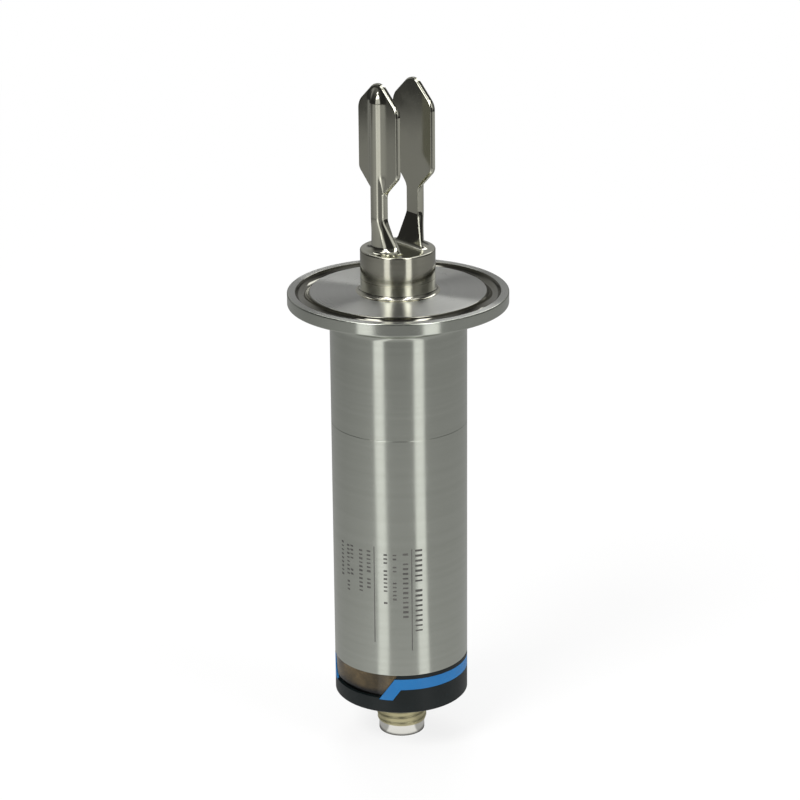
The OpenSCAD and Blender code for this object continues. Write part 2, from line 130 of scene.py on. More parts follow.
def softCopy(nodeName, pieceName, material, sharp=30):
    # the CAD solid's own surface with its doubles merged and its round faces shaded round
    mesh = nodes[nodeName].data.copy()
    mesh.name = pieceName
    cleanMesh(mesh, 2e-6, False)
    if mesh.has_custom_normals:
        mesh.attributes.remove(mesh.attributes["custom_normal"])
    shadeMesh(mesh, material, sharp)
    return linked(pieceName, mesh)


def fitPiece(piece, slot, *replaced):
    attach(piece, "root")
    if replaced:
        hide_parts(*replaced)
    print("piece", piece.name, len(piece.data.polygons), "faces")


def plug(tree, value, socket):
    if isinstance(value, bpy.types.NodeSocket):
        tree.links.new(value, socket)
    elif value is not None:
        socket.default_value = value


def calc(tree, operation, a, b=None, c=None):
    node = tree.nodes.new("ShaderNodeMath")
    node.operation = operation
    for value, socket in zip((a, b, c), node.inputs):
        plug(tree, value, socket)
    return node.outputs[0]


def ranged(tree, value, low, high, outLow, outHigh, smooth=False):
    node = tree.nodes.new("ShaderNodeMapRange")
    if smooth:
        node.interpolation_type = "SMOOTHSTEP"
    for number, socket in zip((value, low, high, outLow, outHigh), node.inputs):
        plug(tree, number, socket)
    return node.outputs[0]


def noise(tree, vector, scale, detail=3.0, rough=0.55):
    node = tree.nodes.new("ShaderNodeTexNoise")
    plug(tree, vector, node.inputs["Vector"])
    plug(tree, scale, node.inputs["Scale"])
    node.inputs["Detail"].default_value = detail
    node.inputs["Roughness"].default_value = rough
    return node.outputs[0]


def mixColour(tree, factor, a, b):
    node = tree.nodes.new("ShaderNodeMix")
    node.data_type = "RGBA"
    plug(tree, factor, node.inputs[0])
    for value, socket in ((a, node.inputs[6]), (b, node.inputs[7])):   # the two colour sockets
        if isinstance(value, tuple):
            value = (*value[:3], 1.0)
        plug(tree, value, socket)
    return node.outputs[2]


def objectCoords(tree):
    return tree.nodes.new("ShaderNodeTexCoord").outputs["Object"]


def axes(tree, vector):
    node = tree.nodes.new("ShaderNodeSeparateXYZ")
    tree.links.new(vector, node.inputs[0])
    return node.outputs


def vectorOf(tree, x, y, z):
    node = tree.nodes.new("ShaderNodeCombineXYZ")
    for value, socket in zip((x, y, z), node.inputs):
        plug(tree, value, socket)
    return node.outputs[0]


def seenRay(tree):
    # 1 for rays from the camera, or from it by way of metal or glass
    light = tree.nodes.new("ShaderNodeLightPath").outputs
    return calc(tree, "MAXIMUM", light["Is Camera Ray"],
                calc(tree, "MAXIMUM", light["Is Glossy Ray"], light["Is Transmission Ray"]))


def shaderGroup(name, inputs, outputs):
    tree = bpy.data.node_groups.new(name, "ShaderNodeTree")
    for label, value in inputs:
        socket = tree.interface.new_socket(label, in_out="INPUT", socket_type="NodeSocketFloat")
        socket.default_value = value
    for label in outputs:
        tree.interface.new_socket(label, in_out="OUTPUT", socket_type="NodeSocketFloat")
    return tree, tree.nodes.new("NodeGroupInput"), tree.nodes.new("NodeGroupOutput")


def placed(tree, group, **values):
    node = tree.nodes.new("ShaderNodeGroup")
    node.node_tree = group
    for label, value in values.items():
        plug(tree, value, node.inputs[label])
    return node.outputs


def makeTurningMarks():
    # rings left by a lathe tool: they change with radius and height, and hardly round the axis
    tree, entry, leave = shaderGroup("turningMarks", [("Lines per mm", 6.0), ("Wander", 0.4)], ["Height", "Fleck"])
    x, y, z = axes(tree, objectCoords(tree))
    radius = calc(tree, "SQRT", calc(tree, "ADD", calc(tree, "MULTIPLY", x, x), calc(tree, "MULTIPLY", y, y)))
    perMetre = calc(tree, "MULTIPLY", entry.outputs["Lines per mm"], 1000.0)
    along = vectorOf(tree, calc(tree, "MULTIPLY", radius, perMetre), calc(tree, "MULTIPLY", z, perMetre),
                     calc(tree, "MULTIPLY", calc(tree, "ARCTAN2", y, x), entry.outputs["Wander"]))
    fine = noise(tree, along, 1.0, 2.0)
    broad = noise(tree, along, 0.13, 2.0)
    plug(tree, fine, leave.inputs["Height"])
    plug(tree, ranged(tree, broad, 0.3, 0.7, 0.0, 1.0), leave.inputs["Fleck"])
    return tree


def makeHandling():
    # cloudy haze and a few fine spots from cleaning and handling
    tree, entry, leave = shaderGroup("handlingHaze", [("Cloud scale", 60.0), ("Spot scale", 900.0)], ["Haze", "Spots"])
    at = objectCoords(tree)
    cloud = noise(tree, at, entry.outputs["Cloud scale"], 4.0, 0.6)
    spot = noise(tree, at, entry.outputs["Spot scale"], 2.0, 0.5)
    plug(tree, ranged(tree, cloud, 0.35, 0.65, 0.0, 1.0, True), leave.inputs["Haze"])
    plug(tree, ranged(tree, spot, 0.66, 0.74, 0.0, 1.0, True), leave.inputs["Spots"])
    return tree


def makeMouldGrain():
    # fine spark-eroded grain of a moulding, with a slow change in tone
    tree, entry, leave = shaderGroup("mouldGrain", [("Grain scale", 5000.0), ("Tone scale", 120.0)], ["Height", "Tone"])
    at = objectCoords(tree)
    plug(tree, noise(tree, at, entry.outputs["Grain scale"], 2.0, 0.6), leave.inputs["Height"])
    tone = noise(tree, at, entry.outputs["Tone scale"], 3.0, 0.5)
    plug(tree, ranged(tree, tone, 0.3, 0.7, 0.0, 1.0, True), leave.inputs["Tone"])
    return tree


turningMarks = makeTurningMarks()
handlingHaze = makeHandling()
mouldGrain = makeMouldGrain()
print("surface groups made")


def newFinish(name):
    material = bpy.data.materials.new(name)
    material.use_nodes = True
    tree = material.node_tree
    return material, tree, tree.nodes["Principled BSDF"]


def bumped(tree, shader, height, strength, distance):
    node = tree.nodes.new("ShaderNodeBump")
    node.inputs["Strength"].default_value = strength
    node.inputs["Distance"].default_value = distance
    plug(tree, height, node.inputs["Height"])
    tree.links.new(node.outputs[0], shader.inputs["Normal"])


def turnedMetal(name, light, dark, smooth, coarse, lines, bump=0.0, stretch=0.0):
    # lathe-turned metal: ring marks in tone, roughness and height; stretch is the anisotropy across the rings
    material, tree, shader = newFinish(name)
    rings = placed(tree, turningMarks, **{"Lines per mm": lines})
    haze = calc(tree, "MULTIPLY", placed(tree, handlingHaze, **{"Cloud scale": 70.0})["Haze"], 0.4)
    shader.inputs["Metallic"].default_value = 1.0
    tone = calc(tree, "MULTIPLY_ADD", rings["Fleck"], 0.6, haze)
    plug(tree, mixColour(tree, tone, dark, light), shader.inputs["Base Color"])
    wear = calc(tree, "MULTIPLY_ADD", rings["Height"], 0.6, haze)
    plug(tree, ranged(tree, wear, 0.2, 0.8, smooth, coarse), shader.inputs["Roughness"])
    if stretch:
        shader.inputs["Anisotropic"].default_value = stretch
        shader.inputs["Anisotropic Rotation"].default_value = 0.25
        tangent = tree.nodes.new("ShaderNodeTangent")
        tangent.direction_type = "RADIAL"
        tangent.axis = "Z"
        tree.links.new(tangent.outputs[0], shader.inputs["Tangent"])
    if bump:
        bumped(tree, shader, rings["Height"], bump, 0.02 * mm)
    return material


def polishedMetal(name, light, dark, smooth, coarse):
    material, tree, shader = newFinish(name)
    haze = placed(tree, handlingHaze, **{"Cloud scale": 90.0, "Spot scale": 1400.0})
    shader.inputs["Metallic"].default_value = 1.0
    plug(tree, mixColour(tree, haze["Haze"], dark, light), shader.inputs["Base Color"])
    worn = calc(tree, "MAXIMUM", haze["Haze"], haze["Spots"])
    plug(tree, ranged(tree, worn, 0.0, 1.0, smooth, coarse), shader.inputs["Roughness"])
    return material


def moulded(name, light, dark, smooth, coarse, grain=5000.0, bump=0.15, coat=0.0, specular=0.5):
    material, tree, shader = newFinish(name)
    skin = placed(tree, mouldGrain, **{"Grain scale": grain})
    plug(tree, mixColour(tree, skin["Tone"], dark, light), shader.inputs["Base Color"])
    plug(tree, ranged(tree, skin["Height"], 0.3, 0.7, smooth, coarse), shader.inputs["Roughness"])
    shader.inputs["Specular IOR Level"].default_value = specular
    if coat:
        shader.inputs["Coat Weight"].default_value = coat
        shader.inputs["Coat Roughness"].default_value = 0.08
    if bump:
        bumped(tree, shader, skin["Height"], bump, 0.03 * mm)
    return material


def smokyWindow(name, paintedShadeTo, litFrom):
    # smoke-brown translucent plastic with a slow swirl of tone, and painted shade that turns it black at its lower edge
    material, tree, shader = newFinish(name)
    skin = placed(tree, mouldGrain, **{"Grain scale": 900.0, "Tone scale": 160.0})
    height = axes(tree, objectCoords(tree))[2]
    lit = ranged(tree, height, paintedShadeTo * mm, litFrom * mm, 0.0, 1.0, True)
    swirl = mixColour(tree, skin["Tone"], (0.060, 0.044, 0.021), (0.175, 0.125, 0.060))
    # painted shade: below the given height the colour goes to near-black, standing in for the shade under the window's
    # ledge
    plug(tree, mixColour(tree, lit, (0.004, 0.004, 0.004), swirl), shader.inputs["Base Color"])
    plug(tree, ranged(tree, skin["Height"], 0.3, 0.7, 0.08, 0.15), shader.inputs["Roughness"])
    shader.inputs["Transmission Weight"].default_value = 0.4
    shader.inputs["IOR"].default_value = 1.5
    return material


# each finish: light and dark tone, least and most roughness, then its lines or grain, bump and so on
forkSteel = polishedMetal("forkSteel", (0.61, 0.605, 0.51), (0.57, 0.565, 0.47), 0.07, 0.13)
collarSteel = turnedMetal("collarSteel", (0.57, 0.56, 0.47), (0.50, 0.49, 0.41), 0.10, 0.18, 6.0)
bodySteel = turnedMetal("bodySteel", (0.575, 0.595, 0.535), (0.525, 0.545, 0.485), 0.15, 0.25, 5.0, 0.05, 0.6)
seatSteel = turnedMetal("seatSteel", (0.60, 0.605, 0.575), (0.54, 0.545, 0.515), 0.27, 0.31, 7.0, 0.0, 1.0)
# painted shade: the groove's steel gets a dark base colour for the shade inside the recess
grooveShadeSteel = polishedMetal("grooveShadeSteel", (0.30, 0.295, 0.255), (0.25, 0.245, 0.21), 0.06, 0.12)
innerSteel = turnedMetal("innerSteel", (0.60, 0.60, 0.60), (0.52, 0.52, 0.52), 0.25, 0.4, 4.0)
plugNickel = turnedMetal("plugNickel", (0.62, 0.58, 0.36), (0.52, 0.475, 0.285), 0.40, 0.50, 6.0)
pilotNickel = turnedMetal("pilotNickel", (0.82, 0.81, 0.76), (0.74, 0.73, 0.67), 0.10, 0.18, 6.0)
contactBrass = turnedMetal("contactBrass", (0.78, 0.62, 0.30), (0.66, 0.5, 0.22), 0.2, 0.34, 3.0)
pinGold = turnedMetal("pinGold", (0.83, 0.66, 0.30), (0.72, 0.55, 0.22), 0.12, 0.22, 8.0)
capacitorCan = turnedMetal("capacitorCan", (0.72, 0.73, 0.75), (0.62, 0.63, 0.65), 0.22, 0.36, 3.0)
capPlastic = moulded("capPlastic", (0.0050, 0.0090, 0.0092), (0.0030, 0.0060, 0.0062), 0.38, 0.5, specular=0.38)
bandBlue = moulded("bandBlue", (0.010, 0.152, 0.40), (0.008, 0.134, 0.36), 0.3, 0.42, 4000.0, 0.08, specular=0.38)
# painted shade: black below -94 mm, fading in to the plastic's tone by -92.5 mm
windowPlastic = smokyWindow("windowPlastic", -94.0, -92.5)
markEtch = moulded("markEtch", (0.085, 0.082, 0.075), (0.05, 0.048, 0.045), 0.4, 0.55, 6000.0, 0.0)
whiteCeramic = moulded("whiteCeramic", (0.9, 0.89, 0.84), (0.82, 0.81, 0.76), 0.4, 0.6, 7000.0)
driveCeramic = moulded("driveCeramic", (0.74, 0.66, 0.47), (0.64, 0.56, 0.38), 0.45, 0.65, 7000.0)
leadCover = moulded("leadCover", (0.62, 0.085, 0.065), (0.5, 0.06, 0.05), 0.3, 0.45, 3000.0)
carrierPlastic = moulded("carrierPlastic", (0.22, 0.22, 0.23), (0.16, 0.16, 0.17), 0.4, 0.55)
boardLaminate = moulded("boardLaminate", (0.055, 0.27, 0.11), (0.03, 0.19, 0.07), 0.25, 0.4, 2500.0, 0.1, 0.4)
chipPlastic = moulded("chipPlastic", (0.036, 0.036, 0.036), (0.022, 0.022, 0.022), 0.45, 0.6, 8000.0)
chokeFerrite = moulded("chokeFerrite", (0.12, 0.12, 0.13), (0.07, 0.07, 0.08), 0.5, 0.7, 6000.0, 0.3)
sealRubber = moulded("sealRubber", (0.035, 0.035, 0.035), (0.02, 0.02, 0.02), 0.55, 0.75, 5000.0)
lampPlastic = moulded("lampPlastic", (0.92, 0.92, 0.87), (0.84, 0.84, 0.78), 0.12, 0.22, 2000.0, 0.0, 0.5)
insulatorPlastic = moulded("insulatorPlastic", (0.035, 0.035, 0.035), (0.022, 0.022, 0.022), 0.4, 0.55)

nodeFinish = {
    "pressure_pad": innerSteel, "insulator_discs": whiteCeramic, "piezo_discs": driveCeramic,
    "contact_foils": contactBrass, "clamp_screw": innerSteel, "drive_leads": leadCover,
    "board_carrier": carrierPlastic, "main_board": boardLaminate, "controller_chip": chipPlastic,
    "driver_chips": chipPlastic, "output_transistors": chipPlastic, "storage_capacitors": capacitorCan,
    "choke": chokeFerrite, "cap_seal": sealRubber, "lamp_board": boardLaminate, "status_lamps": lampPlastic,
    "plug_insulator": insulatorPlastic, "contact_pins": pinGold, "plug_seal": sealRubber, "lock_ring": innerSteel,
}
for nodeName, finish in nodeFinish.items():
    nodes[nodeName].data.materials.clear()
    nodes[nodeName].data.materials.append(finish)
print("finishes made:", len(bpy.data.materials))


def smoothStep(low, high, x):
    t = np.clip((x - low) / (high - low), 0.0, 1.0)
    return t * t * (3 - 2 * t)


def blend(a, b, share):
    return a + (b - a) * share


forkSet = dict(
    halfGap=4.2, paddleThick=1.35, bevel=0.36, bevelRound=0.2, innerRound=0.25, thinnest=0.02,
    rootBase=10.0, rootTop=17.4, rootLean=1.2, rootHalf=4.55, rootRound=6.0, rootDraw=1.43,
    stemHalf=2.1, stemCentre=4.9, neck=23.6, paddleLow=28.2, paddleHigh=43.5, paddleHalf=7.1,
    cornerRound=2.1, shoulder=3.4, apex=49.67, tipRound=3.5,
    hollow=3.5, leastHollow=0.3, hollowFrom=23.3, hollowTo=28.8, noseStart=44.2, noseEnd=47.7, noseTaper=0.9,
    toFlat=(23.2, 26.0), toPaddle=(23.1, 24.3),   # heights where the round section turns flat and the stem ends
    footOut=1.5, footIn=0.8, footRows=13, footTurn=0.06, footSink=0.05, rowClear=0.03,
    rowGap=0.22, columns=46, cornerSteps=16, hold=0.02, leastSlope=0.3, mostInset=0.42,
    collarR=8.55, seam=3.3, seamEdge=0.06, collarEdge=0.4, bore=6.75, diaphragm=8.8, turnedFrom=8.0, turnedTo=9.98,
)


def roundDrop(d, r):
    # how far a rounded edge falls away at distance d in from the outline
    inside = np.clip(r - d, 0.0, r)
    return r - np.sqrt(np.maximum(r * r - inside * inside, 0.0))


def bevelDrop(d, cut, r):
    # the same for a 45 degree bevel with both its corners rounded by r
    bend = (math.sqrt(2) - 1) * r
    low = cut + bend - np.sqrt(np.maximum(r * r - (np.minimum(d, r) - r) ** 2, 0.0))
    top = roundDrop(np.clip(d - cut - bend + r, 0.0, r), r)
    drop = np.where(d < (1 - math.sqrt(0.5)) * r, low, cut - d)
    return np.where(d < cut + bend - math.sqrt(0.5) * r, drop, top)


def tineOutline(s):
    # right half of the outline seen from the gap, from the diaphragm up to the tip
    right = [
        (s["rootHalf"], s["rootBase"], 0), (s["stemHalf"], s["rootTop"], s["rootRound"]),
        (s["stemHalf"], s["neck"], s["cornerRound"]), (s["paddleHalf"], s["paddleLow"], s["cornerRound"]),
        (s["paddleHalf"], s["paddleHigh"], s["shoulder"]),
    ]
    left = [(-x, z, r) for x, z, r in right[::-1]]
    outline = roundCorners(right + [(0, s["apex"], s["tipRound"])] + left, s["cornerSteps"], s["hold"])
    half = [p for p in outline if p[0] > 1e-6]
    half.append((0.0, max(p[1] for p in outline)))
    path = [half[0]]
    for x, z in half[1:]:   # fill the straight runs
        lastX, lastZ = path[-1]
        count = max(1, int(math.ceil(math.dist((x, z), (lastX, lastZ)) / s["rowGap"])))
        path += [(lastX + (x - lastX) * k / count, lastZ + (z - lastZ) * k / count) for k in range(1, count + 1)]
    return np.array(path)


def edgeDistance(path, x, z):
    whole = np.concatenate([path, (path * [-1, 1])[::-1][1:]])
    points = np.stack([x.ravel(), z.ravel()], 1)
    far = np.full(len(points), 1e9)
    for p, q in zip(whole[:-1], whole[1:]):
        run = q - p
        t = np.clip(((points - p) @ run) / max(run @ run, 1e-12), 0, 1)
        far = np.minimum(far, np.hypot(*(points - p - t[:, None] * run).T))
    return far.reshape(x.shape)


def tineGrid(s):
    # rows from the foot to the tip; columns from the edge to the middle, and each point's distance from the edge
    path = tineOutline(s)
    flare = (s["stemHalf"] - s["rootHalf"]) / (s["rootTop"] - s["rootBase"])
    foot = s["rootBase"] + s["footOut"] * (1 - np.sin(np.linspace(math.pi / 2, s["footTurn"], s["footRows"])))
    low = np.stack([s["rootHalf"] + flare * (foot - s["rootBase"]), foot], 1)
    rows = np.concatenate([low[:1] - [0, s["footSink"]], low, path[path[:, 1] > foot[-1] + s["rowClear"]]])
    width, z = rows[:, :1], rows[:, 1:]

    # even turns on the round stem, close at both corners of the bevel on the paddle
    step = np.gradient(rows, axis=0)
    steep = np.maximum(np.abs(step[:, 1:]) / np.hypot(step[:, :1], step[:, 1:]), s["leastSlope"])
    bevelAt = np.concatenate([np.linspace(0, 0.3, 6)[:5] * s["bevelRound"], np.linspace(0.2, 0.86, 4) * s["bevel"],
                              np.linspace(0.92, 1.24, 7) * s["bevel"]])
    inset = np.minimum(bevelAt[None] / steep, s["mostInset"] * width * bevelAt[None] / bevelAt[-1])
    rest = np.linspace(1, 0, s["columns"] - len(bevelAt) + 1)[1:]
    flatX = np.concatenate([width - inset, (width - inset[:, -1:]) * rest[None]], 1)
    roundX = width * np.cos(np.linspace(0, math.pi / 2, s["columns"]))[None]
    flatShare = smoothStep(*s["toFlat"], z)
    x = roundX * (1 - flatShare) + flatX * flatShare

    below = np.array([[s["rootHalf"] - 3 * flare, s["rootBase"] - 3]])   # the outline runs on under the foot
    d = edgeDistance(np.concatenate([below, path]), x, np.repeat(z, x.shape[1], 1))
    d[:, 0] = 0.0
    return width, z, x, d, flatShare


def paddleBack(s, x, z, bevel):
    # the stem runs on up the paddle's back, meets it in a hollow fillet and ends in a bullet nose
    flat = s["halfGap"] + s["paddleThick"]
    nose = np.clip((z - s["noseStart"]) / (s["noseEnd"] - s["noseStart"]), 0, 1)
    across = x / np.sqrt(1 - s["noseTaper"] * nose ** 2)
    hollow = blend(s["leastHollow"], s["hollow"], smoothStep(s["hollowFrom"], s["hollowTo"], z))
    reach = np.sqrt((s["stemHalf"] + hollow) ** 2 - (flat + hollow - s["stemCentre"]) ** 2)
    meet = reach * s["stemHalf"] / (s["stemHalf"] + hollow)
    crown = s["stemCentre"] + np.sqrt(np.maximum(s["stemHalf"] ** 2 - across ** 2, 0.0))
    dish = flat + hollow - np.sqrt(np.maximum(hollow ** 2 - np.clip(reach - across, 0.0, None) ** 2, 0.0))
    rib = np.where(across < meet, crown, np.where(across < reach, dish, flat)) - flat
    return flat - bevel + rib * (1 - nose ** 2)


def tineShell(s):
    width, z, x, d, flatShare = tineGrid(s)
    bevel = bevelDrop(d, s["bevel"], s["bevelRound"])
    leanAt = np.clip((s["rootTop"] - z) / (s["rootTop"] - s["rootBase"]), 0, 1)
    inFlat = s["halfGap"] - s["rootLean"] * leanAt
    yIn = inFlat + roundDrop(d, s["innerRound"]) * (1 - flatShare) + bevel * flatShare

    # root and stem are half round, and their centre draws back as the root widens
    half = np.where(z < (s["rootTop"] + s["neck"]) / 2, width, s["stemHalf"])
    centre = s["stemCentre"] - s["rootDraw"] * (half - s["stemHalf"])
    bend = np.hypot(half, np.maximum(inFlat + s["innerRound"] - centre, 0.0))
    stem = centre + np.sqrt(np.maximum(bend ** 2 - x ** 2, 0.0)) - 3 * np.maximum(x - bend, 0.0)
    paddleShare = smoothStep(*s["toPaddle"], z)
    yOut = stem * (1 - paddleShare) + paddleBack(s, x, z, bevel) * paddleShare
    yOut = np.maximum(yOut, yIn + s["thinnest"])

    # fillets round the foot
    flareOut, flareIn = (roundDrop(z - s["rootBase"], r) for r in (s["footOut"], s["footIn"]))
    x = x * (1 + flareOut / width.clip(1e-6))
    yIn = yIn - flareIn
    yOut = yOut + flareOut

    n = x.shape[1]
    loop = 2 * (2 * n - 1)
    order = list(range(n)) + list(range(n - 2, -1, -1))
    signs = [1] * n + [-1] * (n - 1)
    verts = []
    for i, height in enumerate(z[:, 0]):
        verts += [(sign * x[i, k], yIn[i, k], height) for k, sign in zip(order, signs)]
        verts += [(sign * x[i, k], yOut[i, k], height) for k, sign in zip(order[::-1], signs[::-1])]
    faces = ringFaces([(i, i + 1) for i in range(len(z) - 1)], loop)
    faces.append(tuple(range(loop))[::-1])
    return verts, faces


def buildFork(s):
    tineVerts, tineFaces = tineShell(s)
    other = [(-x, -y, z) for x, y, z in tineVerts]
    collar = roundCorners([
        (s["bore"], s["seam"], 0), (s["collarR"], s["seam"], s["seamEdge"]),
        (s["collarR"], s["rootBase"], s["collarEdge"]),
        (0, s["rootBase"], 0), (0, s["diaphragm"], 0), (s["bore"], s["diaphragm"], 0),
    ])
    shells = joined(turned(collar), (tineVerts, tineFaces), (other, tineFaces))
    piece = addPiece("forkBody", *shells, forkSteel, 50)
    piece.data.materials.append(collarSteel)
    for face in piece.data.polygons:   # the collar is turned, the rest polished
        low = face.center.z < s["turnedTo"] * mm
        face.material_index = int(low and math.hypot(*face.center.xy) > s["turnedFrom"] * mm)
    fitPiece(piece, "fork_steel", "fork")


buildFork(forkSet)


ferruleSet = dict(
    rim=25.25, rimThick=2.85, edge=0.3, backAngle=20.0, hubFillet=1.4,
    groove=21.8, grooveHalf=1.5, grooveDepth=1.6, grooveEdge=0.3, outerEdge=0.24, bowlFrom=0.28, bowlSteps=24,
    collarR=8.55, seam=3.3, seamEdge=0.06, footFillet=1.1, bore=6.75, web=9.0,
    tube=15.7, seamLow=-31.0, seamLowEdge=0.1, lip=-34.0, lipR=14.15, cup=13.3, steps=320,
)


def buildFerrule(s):
    slope = math.tan(math.radians(s["backAngle"]))
    hubZ = -s["rimThick"] - (s["rim"] - s["tube"]) * slope
    low = s["grooveHalf"] - s["grooveDepth"]
    bowl = [(s["groove"] + s["grooveHalf"] * math.cos(t), low + s["grooveHalf"] * math.sin(t), 0)
            for t in np.linspace(math.pi + s["bowlFrom"], 2 * math.pi - s["bowlFrom"], s["bowlSteps"])]
    profile = roundCorners([
        (s["bore"], s["seam"], 0), (s["collarR"], s["seam"], s["seamEdge"]), (s["collarR"], 0, s["footFillet"]),
        (s["groove"] - s["grooveHalf"], 0, s["grooveEdge"]), *bowl,
        (s["groove"] + s["grooveHalf"], 0, s["outerEdge"]),
        (s["rim"], 0, s["edge"]), (s["rim"], -s["rimThick"], s["edge"]),
        (s["tube"], hubZ, s["hubFillet"]), (s["tube"], s["seamLow"], s["seamLowEdge"]),
        (s["lipR"], s["seamLow"], 0), (s["lipR"], s["lip"], 0), (s["cup"], s["lip"], 0),
        (s["cup"], -s["web"], 0), (s["bore"], -s["web"], 0),
    ])
    piece = addPiece("ferruleBody", *turned(profile, s["steps"]), bodySteel)
    for finish in (seatSteel, collarSteel, grooveShadeSteel):
        piece.data.materials.append(finish)
    foot = s["collarR"] + s["footFillet"]
    level = 0.004   # faces nearer than this to z = 0 belong to the sealing face
    for face in piece.data.polygons:   # lapped sealing face, polished collar, and groove darkened as painted shade
        c = face.center / mm
        out = math.hypot(c.x, c.y)
        if c.z > -s["grooveDepth"] - 0.05 and out < s["rim"] - s["edge"]:
            inGroove = abs(out - s["groove"]) < s["grooveHalf"] + s["grooveEdge"] and c.z < -level
            face.material_index = 2 if out < foot and c.z > level else 3 if inGroove else 1
    fitPiece(piece, "body_steel", "process_connection")


buildFerrule(ferruleSet)


tubeSet = dict(outer=15.7, bore=14.2, top=-31.0, end=-89.3, topEdge=0.1, endEdge=0.22, boreEdge=0.1, steps=320)


def buildTube(s):
    profile = roundCorners([
        (s["outer"], s["top"], s["topEdge"]), (s["outer"], s["end"], s["endEdge"]),
        (s["bore"], s["end"], s["boreEdge"]), (s["bore"], s["top"], 0),
    ])
    piece = addPiece("housingTube", *turned(profile, s["steps"]), bodySteel)
    fitPiece(piece, "body_steel", "housing_tube")


buildTube(tubeSet)


def newTree(name, inputs):
    tree = bpy.data.node_groups.new(name, "GeometryNodeTree")
    tree.is_modifier = True
    tree.interface.new_socket("Geometry", in_out="OUTPUT", socket_type="NodeSocketGeometry")
    tree.interface.new_socket("Geometry", in_out="INPUT", socket_type="NodeSocketGeometry")
    for label, kind, value in inputs:
        socket = tree.interface.new_socket(label, in_out="INPUT", socket_type="NodeSocket" + kind)
        if value is not None:
            socket.default_value = value
    return tree, tree.nodes.new("NodeGroupInput").outputs, tree.nodes.new("NodeGroupOutput")


def positionAxes(tree):
    return axes(tree, tree.nodes.new("GeometryNodeInputPosition").outputs[0])


def wrapRound(tree, geometry, radius, angle, height):
    move = tree.nodes.new("GeometryNodeSetPosition")
    place = vectorOf(tree, calc(tree, "MULTIPLY", radius, calc(tree, "COSINE", angle)),
                     calc(tree, "MULTIPLY", radius, calc(tree, "SINE", angle)), height)
    tree.links.new(geometry, move.inputs["Geometry"])
    tree.links.new(place, move.inputs["Position"])
    return move.outputs[0]


def realized(tree, geometry):
    node = tree.nodes.new("GeometryNodeRealizeInstances")
    tree.links.new(geometry, node.inputs[0])
    return node.outputs[0]


def endTree(tree, geometry, material, leave):
    finish = tree.nodes.new("GeometryNodeSetMaterial")
    tree.links.new(realized(tree, geometry), finish.inputs["Geometry"])
    tree.links.new(material, finish.inputs["Material"])
    tree.links.new(finish.outputs[0], leave.inputs[0])


def grown(name, tree, values):
    # runs the tree on an empty mesh and hands back the plain mesh it grows
    holder = linked(name, bpy.data.meshes.new(name + "Seed"))
    modifier = holder.modifiers.new("grow", "NODES")
    modifier.node_group = tree
    ids = {item.name: item.identifier for item in tree.interface.items_tree if item.in_out == "INPUT"}
    for label, value in values.items():
        modifier[ids[label]] = value
    bpy.context.view_layer.update()
    graph = bpy.context.evaluated_depsgraph_get()
    mesh = bpy.data.meshes.new_from_object(holder.evaluated_get(graph), depsgraph=graph)
    holder.modifiers.remove(modifier)
    bpy.data.objects.remove(holder)
    return mesh


def meshShell(mesh):
    return [tuple(v.co / mm) for v in mesh.vertices], [tuple(f.vertices) for f in mesh.polygons]


plugSet = dict(
    thread=5.9, depth=0.2, pitch=1.45, threadTop=-98.8, threadEnd=-107.15, pilot=5.4, end=-109.95, endEdge=0.25,
    neck=5.75, bore=4.75, boreEdge=0.15, seat=8.5, seatLow=-95.8, seatTop=-94.4, seatEdge=0.1,
    angleSteps=160, heightSteps=150,
)


def threadTree():
    tree, entry, leave = newTree("plugThread", [
        ("Crest radius", "Float", 0.006), ("Depth", "Float", 0.0005), ("Pitch", "Float", 0.00127),
        ("Length", "Float", 0.008), ("Top", "Float", -0.098),
        ("Angle steps", "Int", 160), ("Height steps", "Int", 150), ("Finish", "Material", None),
    ])
    grid = tree.nodes.new("GeometryNodeMeshGrid")
    grid.inputs["Size X"].default_value = 2 * math.pi
    plug(tree, entry["Length"], grid.inputs["Size Y"])
    plug(tree, calc(tree, "ADD", entry["Angle steps"], 1), grid.inputs["Vertices X"])
    plug(tree, entry["Height steps"], grid.inputs["Vertices Y"])
    angle, along = positionAxes(tree)[:2]
    turns = calc(tree, "SUBTRACT", calc(tree, "DIVIDE", along, entry["Pitch"]),
                 calc(tree, "DIVIDE", angle, 2 * math.pi))
    swing = calc(tree, "ABSOLUTE", calc(tree, "MULTIPLY_ADD", calc(tree, "FRACT", turns), 2.0, -1.0))
    saw = calc(tree, "SUBTRACT", 1.0, swing)
    crest = ranged(tree, saw, 0.05, 0.95, 0.0, 1.0, True)   # rolled thread, round at root and crest
    halfLength = calc(tree, "MULTIPLY", entry["Length"], 0.5)
    toEnd = calc(tree, "SUBTRACT", halfLength, calc(tree, "ABSOLUTE", along))
    fade = ranged(tree, toEnd, 0.0, calc(tree, "MULTIPLY", entry["Pitch"], 0.35), 0.0, 1.0, True)
    cut = calc(tree, "SUBTRACT", 1.0, calc(tree, "MULTIPLY", crest, fade))
    radius = calc(tree, "SUBTRACT", entry["Crest radius"], calc(tree, "MULTIPLY", entry["Depth"], cut))
    height = calc(tree, "ADD", calc(tree, "SUBTRACT", entry["Top"], halfLength), along)
    weld = tree.nodes.new("GeometryNodeMergeByDistance")
    weld.inputs["Distance"].default_value = 1e-6
    tree.links.new(wrapRound(tree, grid.outputs[0], radius, angle, height), weld.inputs["Geometry"])
    endTree(tree, weld.outputs[0], entry["Finish"], leave)
    return tree


